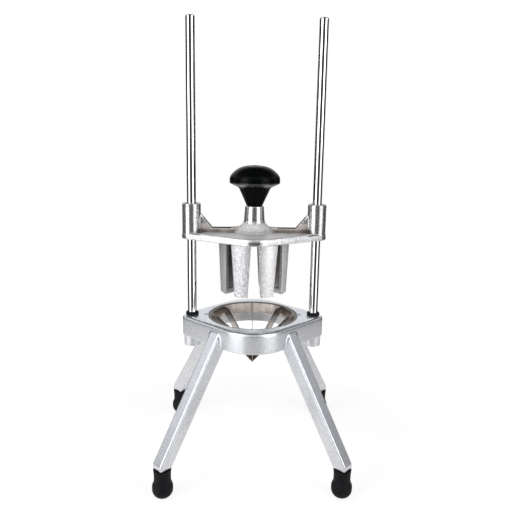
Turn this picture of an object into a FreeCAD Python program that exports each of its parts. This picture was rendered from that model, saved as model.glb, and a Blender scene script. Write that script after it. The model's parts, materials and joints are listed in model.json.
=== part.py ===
import FreeCAD, Part
import math
import os
import Sketcher

os.makedirs("parts", exist_ok=True)
doc = FreeCAD.newDocument("WedgerPress")
vector = FreeCAD.Vector

# Driving sizes in millimetres. Z is up, the floor is at 0, the rods stand on the X axis, the front is -Y.
driving = [
    # standing frame
    ("rodSpacing", 140.0, "centre distance of the two rods"),
    ("rodDiameter", 10.0, "rod"),
    ("rodTop", 496.0, "height of the rod ends"),
    ("rodChamfer", 1.0, "bevel on the rod ends"),
    ("deckHeight", 171.3, "top face of the base casting"),
    ("deckThickness", 23.8, "height of the ring body"),
    ("deckNoseRadius", 43.0, "round front and back of the ring body"),
    ("deckNoseOffset", 23.3, "its centre, from the middle"),
    ("earRadius", 11.2, "rounding of the base at the rods"),
    ("deckEdge", 4.4, "rounding of the top edge"),
    ("deckLowerEdge", 1.5, "rounding of the bottom edge"),
    ("throatRadius", 48.2, "hole under the blade ring"),
    ("ringSeatDepth", 13.2, "depth of the blade ring's seat"),
    ("rodBossRadius", 9.9, "boss under each ear"),
    ("rodBossDrop", 12.0, "how far it hangs below the ring body"),
    ("rodBossDraft", 1.5, "its draft angle"),
    ("rodSeatDepth", 24.5, "depth of the rod in the casting"),
    ("rodWeb", 4.0, "metal between rod and screw head"),
    # legs and feet
    ("legWidth", 14.0, "across the leg"),
    ("legCorner", 2.0, "rounding of the leg's long edges"),
    ("legRootOuter", 57.4, "outer face of the leg at its root"),
    ("legRootInner", 36.0, "inner face there"),
    ("legRootDrop", 3.3, "height of those two, below the deck"),
    ("legFootOuter", 145.5, "outer face at the bottom, before the end is trimmed"),
    ("legFootInner", 126.8, "inner face there"),
    ("legBlend", 4.0, "fillet where the leg leaves the ring body"),
    ("legTrim", 141.5, "upright face that trims the leg's toe"),
    ("legToe", 2.6, "rounding round the leg's bottom end"),
    ("footHeight", 32.5, "rubber foot"),
    ("footNeckRadius", 9.0, "its neck"),
    ("footBulbRadius", 11.1, "its bulb"),
    ("footBulbHeight", 10.4, "centre of the bulb above the floor"),
    ("footBulbCrown", 3.8, "top of the bulb, above its centre"),
    ("footNeckStart", 8.2, "start of the neck, above that centre"),
    ("footRimRadius", 9.5, "flared rim against the leg"),
    ("footCircle", 134.0, "distance of each foot from the middle"),
    ("studDiameter", 6.0, "foot stud"),
    ("studReach", 8.5, "its length in the leg"),
    ("studDepth", 16.0, "its length in the rubber"),
    ("studHead", 13.0, "disc in the rubber"),
    ("studHeadHeight", 3.0, "its thickness"),
    # blade ring and blades
    ("seatClearance", 0.15, "blade ring in its seat"),
    ("ringWall", 2.4, "wall of the blade ring"),
    ("ringMouth", 0.7, "bevel round the seat's mouth"),
    ("ringHeight", 12.7, "blade ring"),
    ("bladeThickness", 1.0, "blade"),
    ("bladeTop", 2.0, "blade shoulders below the deck"),
    ("bladeShoulder", 40.6, "radius where the shoulder turns down"),
    ("bladeTabDrop", 7.6, "height of the blade's end in the ring"),
    ("bladeBand", 14.4, "height of the V band at the middle"),
    ("bladeTip", 58.7, "point of the V below the deck"),
    ("bladeBevel", 2.4, "width of the ground edge"),
    ("bladeSlotPlay", 0.1, "play where a blade sits in a slot"),
    # small hardware
    ("bumperRadius", 7.4, "stop ring"),
    ("bumperHeight", 3.6, "stop ring"),
    ("seatPlay", 0.05, "play of fixed pieces in their holes"),
    ("capScrewDiameter", 5.0, "rod screw"),
    ("capScrewHead", 8.5, "its head"),
    ("capScrewReach", 12.0, "its length in the rod"),
    ("lockWasherThickness", 1.2, "washer under the rod screw"),
    ("lockWasherDiameter", 9.2, "washer under the rod screw"),
    ("ringScrewOffset", 2.3, "ring screw from the outer face of the blade ring"),
    ("ringScrewHead", 6.0, "its head"),
    ("ringScrewHeadHeight", 1.4, "its head"),
    ("ringScrewDiameter", 3.0, "its shank"),
    ("ringScrewReach", 9.8, "shank length"),
    ("smallBevel", 0.4, "bevel on screws and bushes"),
    ("studBevel", 0.8, "bevel on the ends of the studs"),
    ("endPlay", 1.0, "free depth past the end of a screw or stud"),
    # sliding head; its heights are above its own underside
    ("headHeight", 260.8, "underside of the head above the floor"),
    ("plateThickness", 8.0, "plate"),
    ("plateNoseRadius", 29.5, "round front and back of the plate"),
    ("plateNoseOffset", 19.5, "its centre, from the middle"),
    ("plateEarRadius", 10.9, "rounding of the plate at the rods"),
    ("plateEdge", 4.2, "rounding of the plate's top edge"),
    ("plateLowerEdge", 1.2, "rounding of its bottom edge"),
    ("bossRadius", 10.3, "rod boss"),
    ("bossHeight", 39.8, "rod boss"),
    ("bossBevel", 0.8, "its top edge"),
    ("ribHeight", 13.2, "top of the rib between the bosses"),
    ("ribThickness", 5.0, "rib"),
    ("ribEdge", 2.2, "rounding of the rib and gussets along the top"),
    ("gussetReach", 23.2, "foot of the gusset from the rod"),
    ("gussetHeight", 28.4, "top of the gusset, seen at the side of the boss"),
    ("hubRadius", 10.4, "hub at its top"),
    ("hubWaist", 11.7, "hub above its foot"),
    ("hubFoot", 22.3, "foot of the hub on the plate"),
    ("hubHeight", 37.4, "top of the hub"),
    ("hubEdge", 1.2, "rounding of its top edge"),
    ("bushOuter", 13.0, "guide bush"),
    ("bushLength", 12.0, "guide bush"),
    ("runningClearance", 0.05, "rod in the bush"),
    ("boreRelief", 0.7, "wider bore between the bushes"),
    # pusher fingers
    ("fingerCount", 8, "fingers"),
    ("fingerLength", 59.0, "finger below the plate"),
    ("fingerRadius", 40.0, "outer face at the plate"),
    ("fingerTipRadius", 37.6, "outer face at the tip"),
    ("fingerGap", 3.5, "half the gap between fingers at the plate"),
    ("fingerTipGap", 6.9, "half the gap at the tip"),
    ("fingerShell", 3.8, "outer wall"),
    ("fingerWeb", 4.0, "web behind the outer wall"),
    ("fingerPad", 5.5, "solid pad at the tip"),
    ("fingerInner", 15.0, "inner end of the web at the plate"),
    ("fingerTipInner", 20.0, "inner end of the pad at the tip"),
    # knob
    ("knobRadius", 27.9, "widest radius"),
    ("knobHeight", 44.8, "knob"),
    ("knobBrim", 27.2, "height of the widest radius"),
    ("knobLip", 2.2, "fall of the brim to its lower edge"),
    ("knobLipEdge", 1.2, "rounding there"),
    ("knobShoulder", 5.2, "rise of the brim to the dome"),
    ("knobCrown", 2.0, "rise of the middle of the dome"),
    ("knobUnder", 20.2, "height where the cone meets the brim"),
    ("knobNeck", 17.8, "radius there"),
    ("knobFoot", 8.7, "radius at the bottom"),
    ("knobStudDiameter", 8.0, "knob stud"),
    ("knobStudDepth", 26.0, "its length in the hub"),
    ("insertDiameter", 12.0, "brass insert"),
    ("insertLength", 18.0, "brass insert"),
    ("insertGroove", 0.6, "depth of the groove round it"),
]

sheet = doc.addObject("Spreadsheet::Sheet", "Sizes")
for row, (alias, value, note) in enumerate(driving, start=1):
    sheet.set("A%d" % row, note)
    sheet.set("B%d" % row, str(value))
    sheet.setAlias("B%d" % row, alias)
doc.recompute()


def value(expression):
    """The number that an expression on the sheet has now."""
    result = sheet.evalExpression(str(expression))
    return float(getattr(result, "Value", result))


def newBody(label):
    body = doc.addObject("PartDesign::Body", label)
    body.Label = label
    return body


def originFeature(body, role):
    return next(feature for feature in body.Origin.OriginFeatures if feature.Role == role)


def newSketch(body, name, role="XY_Plane", height=None, turn=0.0, axis=vector(0, 0, 1)):
    """An empty sketch on one of the body's own planes, lifted, and turned about one of its local axes."""
    sketch = body.newObject("Sketcher::SketchObject", name)
    sketch.AttachmentSupport = [(originFeature(body, role), "")]
    sketch.MapMode = "FlatFace"
    sketch.AttachmentOffset = FreeCAD.Placement(vector(), FreeCAD.Rotation(axis, turn))
    if height is not None:
        sketch.setExpression("AttachmentOffset.Base.z", str(height))
    return sketch


def bindSize(sketch, kind, expression, *where):
    """Adds one dimension whose value follows an expression."""
    index = sketch.addConstraint(Sketcher.Constraint(kind, *where, value(expression)))
    sketch.setExpression("Constraints[%d]" % index, str(expression))


def placePoint(sketch, geometry, end, x, y):
    """Holds a point of the sketch at x, y, where a plain 0 lies on the axis."""
    for kind, axis, expression in (("DistanceX", -2, x), ("DistanceY", -1, y)):
        if expression == 0:
            sketch.addConstraint(Sketcher.Constraint("PointOnObject", geometry, end, axis))
        else:
            bindSize(sketch, kind, expression, -1, 1, geometry, end)


def drawCircle(sketch, radius, x=0, y=0):
    round_ = Part.Circle(vector(value(x), value(y), 0), vector(0, 0, 1), value(radius))
    circle = sketch.addGeometry(round_, False)
    placePoint(sketch, circle, 3, x, y)
    bindSize(sketch, "Radius", radius, circle)


def drawOutline(sketch, corners):
    """A closed outline. Each corner is (x, y) or (x, y, radius of its rounding)."""
    count = len(corners)
    points = [vector(value(corner[0]), value(corner[1]), 0) for corner in corners]
    starts, ends, arcs = [], [], []
    for index, corner in enumerate(corners):
        before = (points[index - 1] - points[index]).normalize()
        after = (points[(index + 1) % count] - points[index]).normalize()
        if len(corner) == 2:
            ends.append(points[index])
            starts.append(points[index])
            arcs.append(None)
            continue
        radius = value(corner[2])
        half = before.getAngle(after) / 2
        reach = radius / math.tan(half)
        bisector = (before + after).normalize()
        centre = points[index] + bisector * (radius / math.sin(half))
        arrive = points[index] + before * reach
        leave = points[index] + after * reach
        ends.append(arrive)
        starts.append(leave)
        leftTurn = before.cross(after).z < 0
        first, last = (arrive, leave) if leftTurn else (leave, arrive)
        angles = [math.atan2(point.y - centre.y, point.x - centre.x) for point in (first, last)]
        if angles[1] < angles[0]:
            angles[1] += 2 * math.pi
        circle = Part.Circle(centre, vector(0, 0, 1), radius)
        arcs.append((Part.ArcOfCircle(circle, angles[0], angles[1]), leftTurn, radius))
    lines = [
        sketch.addGeometry(Part.LineSegment(starts[index], ends[(index + 1) % count]), False)
        for index in range(count)
    ]
    for index, corner in enumerate(corners):
        arriving, leaving = lines[index - 1], lines[index]
        if arcs[index] is None:
            sketch.addConstraint(Sketcher.Constraint("Coincident", arriving, 2, leaving, 1))
            placePoint(sketch, leaving, 1, corner[0], corner[1])
            continue
        arc, leftTurn, radius = arcs[index]
        curve = sketch.addGeometry(arc, False)
        tip = sketch.addGeometry(Part.Point(points[index]), True)
        placePoint(sketch, tip, 1, corner[0], corner[1])
        sketch.addConstraint(Sketcher.Constraint("PointOnObject", tip, 1, arriving))
        sketch.addConstraint(Sketcher.Constraint("PointOnObject", tip, 1, leaving))
        sketch.addConstraint(Sketcher.Constraint("Tangent", arriving, 2, curve, 1 if leftTurn else 2))
        sketch.addConstraint(Sketcher.Constraint("Tangent", leaving, 1, curve, 2 if leftTurn else 1))
        bindSize(sketch, "Radius", corner[2], curve)


def drawLens(sketch, noseRadius, noseOffset, earRadius, earOffset):
    """Four arcs joined by tangent lines: broad front and back, small ears at the rods."""
    centres = [(0, "-(%s)" % noseOffset, noseRadius), (earOffset, 0, earRadius),
               (0, noseOffset, noseRadius), ("-(%s)" % earOffset, 0, earRadius)]
    offset, reach = value(noseOffset), value(earOffset)
    slope = math.degrees(math.atan2(offset, reach))
    lean = math.degrees(math.acos((value(noseRadius) - value(earRadius)) / math.hypot(offset, reach)))
    corner = lean - slope                      # the flank's normal, below the X axis
    spans = [(180 + corner, 360 - corner), (-corner, corner),
             (corner, 180 - corner), (180 - corner, 180 + corner)]
    arcs = []
    for (x, y, radius), (first, last) in zip(centres, spans):
        circle = Part.Circle(vector(value(x), value(y), 0), vector(0, 0, 1), value(radius))
        arc = Part.ArcOfCircle(circle, math.radians(first), math.radians(last))
        arcs.append(sketch.addGeometry(arc, False))
    for index, arc in enumerate(arcs):
        following = arcs[(index + 1) % 4]
        start = sketch.getPoint(arc, 2)
        finish = sketch.getPoint(following, 1)
        line = sketch.addGeometry(Part.LineSegment(start, finish), False)
        sketch.addConstraint(Sketcher.Constraint("Tangent", arc, 2, line, 1))
        sketch.addConstraint(Sketcher.Constraint("Tangent", line, 2, following, 1))
    for arc, (x, y, radius) in zip(arcs, centres):
        placePoint(sketch, arc, 3, x, y)
        bindSize(sketch, "Radius", radius, arc)


def extrude(body, kind, sketch, length, reverse=False, symmetric=False, taper=None):
    """A Pad or Pocket of a sketch; its direction is along the sketch's normal, or against it."""
    feature = body.newObject("PartDesign::" + kind, sketch.Name + kind)
    feature.Profile = sketch
    feature.setExpression("Length", str(length))
    feature.Reversed = reverse
    if symmetric:
        feature.SideType = "Symmetric"
    if taper is not None:
        feature.setExpression("TaperAngle", str(taper))
    return feature


def revolve(body, sketch):
    feature = body.newObject("PartDesign::Revolution", sketch.Name + "Turned")
    feature.Profile = sketch
    feature.ReferenceAxis = (sketch, ["V_Axis"])
    feature.Angle = 360
    return feature


def loft(body, kind, sections):
    feature = body.newObject("PartDesign::" + kind, sections[0].Name + "Loft")
    feature.Profile = sections[0]
    feature.Sections = sections[1:]
    feature.Ruled = True
    return feature


def patternRound(body, features, count):
    pattern = body.newObject("PartDesign::PolarPattern", features[0].Name + "Round")
    pattern.Originals = features
    pattern.Axis = (originFeature(body, "Z_Axis"), [""])
    pattern.Angle = 360
    pattern.setExpression("Occurrences", str(count))
    body.Tip = pattern
    return pattern


def edgesWhere(shape, test):
    """Names of the edges whose middle point and curve pass a test."""
    names = []
    for index, edge in enumerate(shape.Edges, start=1):
        middle = edge.valueAt((edge.FirstParameter + edge.LastParameter) / 2)
        if test(middle, edge):
            names.append("Edge%d" % index)
    return names


def dress(body, kind, base, size, test, second=None):
    """A Fillet or Chamfer on the edges of a feature that pass a test."""
    doc.recompute()
    feature = body.newObject("PartDesign::" + kind, base.Name + kind)
    feature.Base = (base, edgesWhere(base.Shape, test))
    feature.setExpression("Radius" if kind == "Fillet" else "Size", str(size))
    if second is not None:
        feature.ChamferType = "Two distances"
        feature.setExpression("Size2", str(second))
    body.Tip = feature
    return feature


def atHeight(level, spread=0.01):
    """A test for edges that lie level at one height."""
    def test(middle, edge):
        box = edge.BoundBox
        return abs(box.ZMin - level) < spread and abs(box.ZMax - level) < spread
    return test


def place(item, x=None, y=None, z=None):
    for axis, expression in (("x", x), ("y", y), ("z", z)):
        if expression is not None:
            item.setExpression("Placement.Base." + axis, str(expression))


def group(label, members):
    """Equal loose pieces that share one node."""
    compound = doc.addObject("Part::Compound", label)
    compound.Label = label
    compound.Links = members
    return compound


sides = (("left", -1), ("right", 1))
rodX = "Sizes.rodSpacing / 2"
deck = "Sizes.deckHeight"
deckBottom = "(Sizes.deckHeight - Sizes.deckThickness)"
ringSeatRadius = "(Sizes.throatRadius + Sizes.ringWall + Sizes.seatClearance)"
ringScrewX = "(Sizes.throatRadius + Sizes.ringWall + Sizes.ringScrewOffset)"
rodFoot = "(Sizes.deckHeight - Sizes.rodSeatDepth)"
bossFloor = "(Sizes.deckHeight - Sizes.deckThickness - Sizes.rodBossDrop)"
screwSeat = "(Sizes.deckHeight - Sizes.rodSeatDepth - Sizes.rodWeb)"


def buildBase():
    """Ring body, ears, rod bosses and four legs, cast in one."""
    body = newBody("base_casting")
    outline = newSketch(body, "deckOutline", height=deckBottom)
    drawLens(outline, "Sizes.deckNoseRadius", "Sizes.deckNoseOffset", "Sizes.earRadius", rodX)
    ring = extrude(body, "Pad", outline, "Sizes.deckThickness")
    top = dress(body, "Fillet", ring, "Sizes.deckEdge", atHeight(value(deck)))
    dress(body, "Fillet", top, "Sizes.deckLowerEdge", atHeight(value(deckBottom)))

    # one leg, drawn from the side in its own upright plane, then turned round the middle
    side = newSketch(body, "legSide", "XZ_Plane", turn=45, axis=vector(0, 1, 0))
    rootTop = "(Sizes.deckHeight - Sizes.legRootDrop)"
    fall = "(%s - Sizes.footHeight) / (Sizes.legFootOuter - Sizes.legRootOuter)" % rootTop
    trimTop = "%s - (Sizes.legTrim - Sizes.legRootOuter) * %s" % (rootTop, fall)
    drawOutline(side, [
        ("Sizes.legRootInner", rootTop), ("Sizes.legFootInner", "Sizes.footHeight", "Sizes.legToe"),
        ("Sizes.legTrim", "Sizes.footHeight", "Sizes.legToe"), ("Sizes.legTrim", trimTop, "Sizes.legToe * 2"),
        ("Sizes.legRootOuter", rootTop),
    ])
    leg = extrude(body, "Pad", side, "Sizes.legWidth", symmetric=True)
    legs = patternRound(body, [leg], 4)

    def longEdge(middle, edge):
        return edge.BoundBox.ZMin < value("Sizes.deckHeight / 2") < edge.BoundBox.ZMax
    rounded = dress(body, "Fillet", legs, "Sizes.legCorner", longEdge)

    def legRoot(middle, edge):
        # the upright line where a side of the leg leaves the wall of the ring body
        across = abs(abs(middle.x) - abs(middle.y)) / math.sqrt(2)
        upright = edge.BoundBox.ZLength > 0.99 * edge.Length
        inWall = value(deckBottom) < middle.z < value(deck)
        return upright and inWall and abs(across - value("Sizes.legWidth / 2")) < 0.1
    dress(body, "Fillet", rounded, "Sizes.legBlend", legRoot)

    bosses = newSketch(body, "rodBosses", height=deckBottom)
    for name, side in sides:
        drawCircle(bosses, "Sizes.rodBossRadius", "%d * %s" % (side, rodX), 0)
    extrude(body, "Pad", bosses, "Sizes.rodBossDrop", reverse=True, taper="-Sizes.rodBossDraft")

    throat = newSketch(body, "throat", height=deck)
    drawCircle(throat, "Sizes.throatRadius")
    extrude(body, "Pocket", throat, "Sizes.deckThickness + 2 * Sizes.legWidth")
    seat = newSketch(body, "ringSeat", height=deck)
    drawCircle(seat, ringSeatRadius)
    seated = extrude(body, "Pocket", seat, "Sizes.ringSeatDepth")

    def mouth(middle, edge):
        wide = abs(math.hypot(middle.x, middle.y) - value(ringSeatRadius)) < 0.1
        return wide and abs(middle.z - value(deck)) < 0.1
    dress(body, "Chamfer", seated, "Sizes.ringMouth", mouth)

    rods = newSketch(body, "rodSeats", height=deck)
    heads = newSketch(body, "screwHeads", height=bossFloor)
    shanks = newSketch(body, "screwShanks", height=bossFloor)
    ringHeads = newSketch(body, "ringScrewHeads", height=deck)
    ringShanks = newSketch(body, "ringScrewShanks", height=deck)
    for name, side in sides:
        x = "%d * %s" % (side, rodX)
        drawCircle(rods, "Sizes.rodDiameter / 2 + Sizes.seatPlay", x, 0)
        drawCircle(heads, "Sizes.lockWasherDiameter / 2 + 4 * Sizes.seatPlay", x, 0)
        drawCircle(shanks, "Sizes.capScrewDiameter / 2 + Sizes.seatPlay", x, 0)
        screwX = "%d * %s" % (side, ringScrewX)
        drawCircle(ringHeads, "Sizes.ringScrewHead / 2 + 4 * Sizes.seatPlay", screwX, 0)
        drawCircle(ringShanks, "Sizes.ringScrewDiameter / 2 + Sizes.seatPlay", screwX, 0)
    extrude(body, "Pocket", rods, "Sizes.rodSeatDepth")
    extrude(body, "Pocket", heads, "%s - %s" % (screwSeat, bossFloor), reverse=True)
    extrude(body, "Pocket", shanks, "%s - %s" % (rodFoot, bossFloor), reverse=True)
    extrude(body, "Pocket", ringHeads, "Sizes.ringScrewHeadHeight + Sizes.deckHeight - %s" % ringTop)
    extrude(body, "Pocket", ringShanks, "Sizes.ringScrewHeadHeight + Sizes.ringScrewReach + Sizes.endPlay")

    studs = newSketch(body, "studHoles", height="Sizes.footHeight", turn=45)
    drawCircle(studs, "Sizes.studDiameter / 2 + Sizes.seatPlay", "Sizes.footCircle", 0)
    hole = extrude(body, "Pocket", studs, "Sizes.studReach + Sizes.endPlay", reverse=True)
    patternRound(body, [hole], 4)
    return body


ringTop = "(Sizes.deckHeight - Sizes.ringSeatDepth + Sizes.ringHeight)"
bladeSlope = "((Sizes.bladeTip - Sizes.bladeBand - Sizes.bladeTop) / Sizes.bladeShoulder)"


def buildBladeRing():
    """Stainless ring with eight slots for the blade ends and two nicks for the screws that hold it."""
    body = newBody("blade_ring")
    section = newSketch(body, "ringSection", "XZ_Plane")
    outer = "Sizes.throatRadius + Sizes.ringWall"
    bottom = "Sizes.deckHeight - Sizes.ringSeatDepth"
    bevel = "Sizes.ringWall / 6"
    drawOutline(section, [
        ("Sizes.throatRadius", bottom), (outer, bottom), (outer, ringTop),
        ("Sizes.throatRadius + " + bevel, ringTop), ("Sizes.throatRadius", ringTop + " - " + bevel),
    ])
    revolve(body, section)
    slot = newSketch(body, "bladeSlot", height=ringTop)
    half = "(Sizes.bladeThickness + Sizes.bladeSlotPlay) / 2"
    near = "Sizes.throatRadius - Sizes.ringWall"
    far = "Sizes.throatRadius + 2 * Sizes.ringWall"
    drawOutline(slot, [(near, "-" + half), (far, "-" + half), (far, half), (near, half)])
    depth = "%s - Sizes.deckHeight + Sizes.bladeTop + Sizes.bladeTabDrop" % ringTop
    cut = extrude(body, "Pocket", slot, depth)
    patternRound(body, [cut], "Sizes.fingerCount")
    nicks = newSketch(body, "screwNicks", height=ringTop)
    for name, side in sides:
        drawCircle(nicks, "Sizes.ringScrewHead / 2 + 4 * Sizes.seatPlay", "%d * %s" % (side, ringScrewX), 0)
    extrude(body, "Pocket", nicks, "Sizes.ringScrewHeadHeight")
    return body


def buildBlade(number):
    """One V-shaped blade. Near the middle it keeps one quarter of the band, where the others are slotted."""
    body = newBody("wedge_blade_%d" % (number + 1))
    outline = newSketch(body, "bladeOutline%d" % number, "XZ_Plane")
    end = "Sizes.throatRadius + Sizes.ringWall - Sizes.bladeSlotPlay"
    shoulder = "Sizes.deckHeight - Sizes.bladeTop"
    tabBottom = "%s - Sizes.bladeTabDrop" % shoulder
    tip = "Sizes.deckHeight - Sizes.bladeTip"
    lowerEnd = "(Sizes.bladeTip - Sizes.bladeTop - Sizes.bladeTabDrop) / %s" % bladeSlope
    round_ = "3 * Sizes.bladeThickness"
    drawOutline(outline, [
        (0, tip), (lowerEnd, tabBottom), (end, tabBottom), (end, shoulder),
        ("Sizes.bladeShoulder", shoulder, round_), (0, tip + " + Sizes.bladeBand"),
        ("-Sizes.bladeShoulder", shoulder, round_), ("-(%s)" % end, shoulder),
        ("-(%s)" % end, tabBottom), ("-(%s)" % lowerEnd, tabBottom),
    ])
    plate = extrude(body, "Pad", outline, "Sizes.bladeThickness", symmetric=True)
    low, high = value(tip + " + Sizes.bladeBand"), value(shoulder)

    def upperEdge(middle, edge):
        box = edge.BoundBox
        sloping = box.ZMax - box.ZMin > (high - low) / 2
        return sloping and abs(middle.z - low - value(bladeSlope) * abs(middle.x)) < 0.1
    dress(body, "Chamfer", plate, "Sizes.bladeThickness * 0.38", upperEdge, "Sizes.bladeBevel")

    # the crossing: a bridge of one quarter of the band is left, with a slot above and below it
    halfWidth = "Sizes.bladeThickness / 2 / sin(22.5 deg) + Sizes.bladeSlotPlay"
    quarter = "Sizes.bladeBand / 4"
    bridgeLow = "%s + %d * %s" % (tip, number, quarter)
    slots = []
    if number > 0:
        slots.append((tip + " - Sizes.bladeBand", bridgeLow + " + Sizes.bladeSlotPlay / 2"))
    if number < 3:
        slots.append(("%s + %s - Sizes.bladeSlotPlay / 2" % (bridgeLow, quarter), shoulder))
    for index, (bottom, top) in enumerate(slots):
        slot = newSketch(body, "crossSlot%d%d" % (number, index), "XZ_Plane")
        drawOutline(slot, [("-(%s)" % halfWidth, bottom), (halfWidth, bottom), (halfWidth, top),
                           ("-(%s)" % halfWidth, top)])
        extrude(body, "Pocket", slot, "4 * Sizes.bladeThickness", symmetric=True)
    body.Placement.Rotation = FreeCAD.Rotation(vector(0, 0, 1), 45.0 * number)
    return body


def buildRod(name, side):
    """Ground rod with bevelled ends and a tapped hole in its lower end."""
    body = newBody("guide_rod_" + name)
    section = newSketch(body, "rodSection_" + name, "XZ_Plane")
    radius = "Sizes.rodDiameter / 2"
    hole = "Sizes.capScrewDiameter / 2 + Sizes.seatPlay"
    length = "Sizes.rodTop - %s" % rodFoot
    holeEnd = "Sizes.capScrewReach + Sizes.endPlay"
    drawOutline(section, [
        (hole, 0), (radius + " - Sizes.rodChamfer", 0), (radius, "Sizes.rodChamfer"),
        (radius, length + " - Sizes.rodChamfer"), (radius + " - Sizes.rodChamfer", length), (0, length),
        (0, holeEnd + " + " + hole), (hole, holeEnd),
    ])
    revolve(body, section)
    place(body, x="%d * %s" % (side, rodX), z=rodFoot)
    return body


def buildRodScrew(name, side):
    """Socket head cap screw, head down in the boss."""
    body = newBody("rodScrew_" + name)
    section = newSketch(body, "rodScrewSection_" + name, "XZ_Plane")
    head = "Sizes.capScrewHead / 2"
    shank = "Sizes.capScrewDiameter / 2"
    headTop = "Sizes.capScrewDiameter"
    bevel = " - Sizes.smallBevel"
    tip = "Sizes.capScrewDiameter + Sizes.lockWasherThickness + Sizes.rodWeb + Sizes.capScrewReach"
    drawOutline(section, [
        (0, 0), (head + bevel, 0), (head, "Sizes.smallBevel"), (head, headTop), (shank, headTop),
        (shank, tip + bevel), (shank + bevel, tip), (0, tip),
    ])
    revolve(body, section)
    socket = newSketch(body, "rodScrewSocket_" + name)
    across = "Sizes.capScrewDiameter * 0.46"
    drawOutline(socket, [
        ("%s * cos(%d deg)" % (across, angle), "%s * sin(%d deg)" % (across, angle))
        for angle in (30, 90, 150, 210, 270, 330)
    ])
    extrude(body, "Pocket", socket, "Sizes.capScrewDiameter / 2", reverse=True)
    place(body, x="%d * %s" % (side, rodX), z="%s - Sizes.lockWasherThickness - %s" % (screwSeat, headTop))
    return body


def buildLockWasher(name, side):
    """Split spring washer."""
    body = newBody("lockWasher_" + name)
    outline = newSketch(body, "washerOutline_" + name)
    drawCircle(outline, "Sizes.lockWasherDiameter / 2")
    extrude(body, "Pad", outline, "Sizes.lockWasherThickness")
    hole = newSketch(body, "washerHole_" + name)
    drawCircle(hole, "Sizes.capScrewDiameter / 2 + 4 * Sizes.seatPlay")
    extrude(body, "Pocket", hole, "Sizes.lockWasherThickness", reverse=True)
    split = newSketch(body, "washerSplit_" + name)
    half = "Sizes.lockWasherThickness / 3"
    drawOutline(split, [
        (0, "-" + half), ("Sizes.lockWasherDiameter", "-" + half),
        ("Sizes.lockWasherDiameter", half), (0, half),
    ])
    extrude(body, "Pocket", split, "Sizes.lockWasherThickness", reverse=True)
    place(body, x="%d * %s" % (side, rodX), z="%s - Sizes.lockWasherThickness" % screwSeat)
    return body


def buildBumper(name, side):
    """Rubber stop ring at the foot of the rod, rounded outside."""
    body = newBody("rod_bumper_" + name)
    section = newSketch(body, "bumperSection_" + name, "XZ_Plane")
    inner = "Sizes.rodDiameter / 2 + Sizes.seatPlay"
    round_ = "Sizes.bumperHeight * 0.42"
    drawOutline(section, [
        (inner, 0), ("Sizes.bumperRadius", 0, round_),
        ("Sizes.bumperRadius", "Sizes.bumperHeight", round_), (inner, "Sizes.bumperHeight"),
    ])
    revolve(body, section)
    place(body, x="%d * %s" % (side, rodX), z=deck)
    return body


def buildRingScrew(name, side):
    """Small slotted screw whose head laps over the blade ring."""
    body = newBody("ringScrew_" + name)
    section = newSketch(body, "ringScrewSection_" + name, "XZ_Plane")
    head = "Sizes.ringScrewHead / 2"
    shank = "Sizes.ringScrewDiameter / 2"
    bottom = "-Sizes.ringScrewHeadHeight"
    tip = "-(Sizes.ringScrewHeadHeight + Sizes.ringScrewReach)"
    drawOutline(section, [
        (0, tip), (shank + " - Sizes.smallBevel", tip), (shank, tip + " + Sizes.smallBevel"), (shank, bottom),
        (head, bottom), (head, "-Sizes.smallBevel"), (head + " - Sizes.smallBevel", 0), (0, 0),
    ])
    revolve(body, section)
    slot = newSketch(body, "ringScrewSlot_" + name)
    half = "Sizes.ringScrewHead / 14"
    drawOutline(slot, [("-Sizes.ringScrewHead", "-" + half), ("Sizes.ringScrewHead", "-" + half),
                       ("Sizes.ringScrewHead", half), ("-Sizes.ringScrewHead", half)])
    extrude(body, "Pocket", slot, "Sizes.ringScrewHeadHeight / 2")
    place(body, x="%d * %s" % (side, ringScrewX), z=ringTop)
    return body


def buildFoot(name, turn):
    """Bell-shaped rubber foot with a moulded seat for the stud."""
    body = newBody("rubber_foot_" + name)
    section = newSketch(body, "footSection_" + name, "XZ_Plane")
    bulb = "Sizes.footBulbRadius"
    neck = "Sizes.footNeckRadius"
    play = "Sizes.seatPlay"
    stud = "Sizes.studDiameter / 2 + " + play
    disc = "Sizes.studHead / 2 + " + play
    discTop = "Sizes.footHeight - Sizes.studDepth + Sizes.studHeadHeight + " + play
    discBottom = "Sizes.footHeight - Sizes.studDepth - " + play
    drawOutline(section, [
        (0, 0), (bulb, 0, bulb + " * 0.86"),
        (bulb, "Sizes.footBulbHeight + Sizes.footBulbCrown", bulb + " * 0.84"),
        (neck, "Sizes.footBulbHeight + Sizes.footNeckStart", bulb + " * 0.84"),
        (neck, "Sizes.footHeight * 0.8", bulb),
        ("Sizes.footRimRadius", "Sizes.footHeight"), (stud, "Sizes.footHeight"),
        (stud, discTop), (disc, discTop), (disc, discBottom), (0, discBottom),
    ])
    revolve(body, section)
    place(body, x="Sizes.footCircle * cos(%d deg)" % turn, y="Sizes.footCircle * sin(%d deg)" % turn)
    return body


def buildFootStud(name, turn):
    """Steel stud with a disc that the rubber is moulded round."""
    body = newBody("footStud_" + name)
    section = newSketch(body, "footStudSection_" + name, "XZ_Plane")
    low = "Sizes.footHeight - Sizes.studDepth"
    high = "Sizes.footHeight + Sizes.studReach"
    disc = " + Sizes.studHeadHeight"
    drawOutline(section, [
        (0, low), ("Sizes.studHead / 2", low), ("Sizes.studHead / 2", low + disc),
        ("Sizes.studDiameter / 2", low + disc), ("Sizes.studDiameter / 2", high + " - Sizes.studBevel"),
        ("Sizes.studDiameter / 2 - Sizes.studBevel", high), (0, high),
    ])
    revolve(body, section)
    place(body, x="Sizes.footCircle * cos(%d deg)" % turn, y="Sizes.footCircle * sin(%d deg)" % turn)
    return body


halfPitch = "(180 deg / Sizes.fingerCount)"


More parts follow.
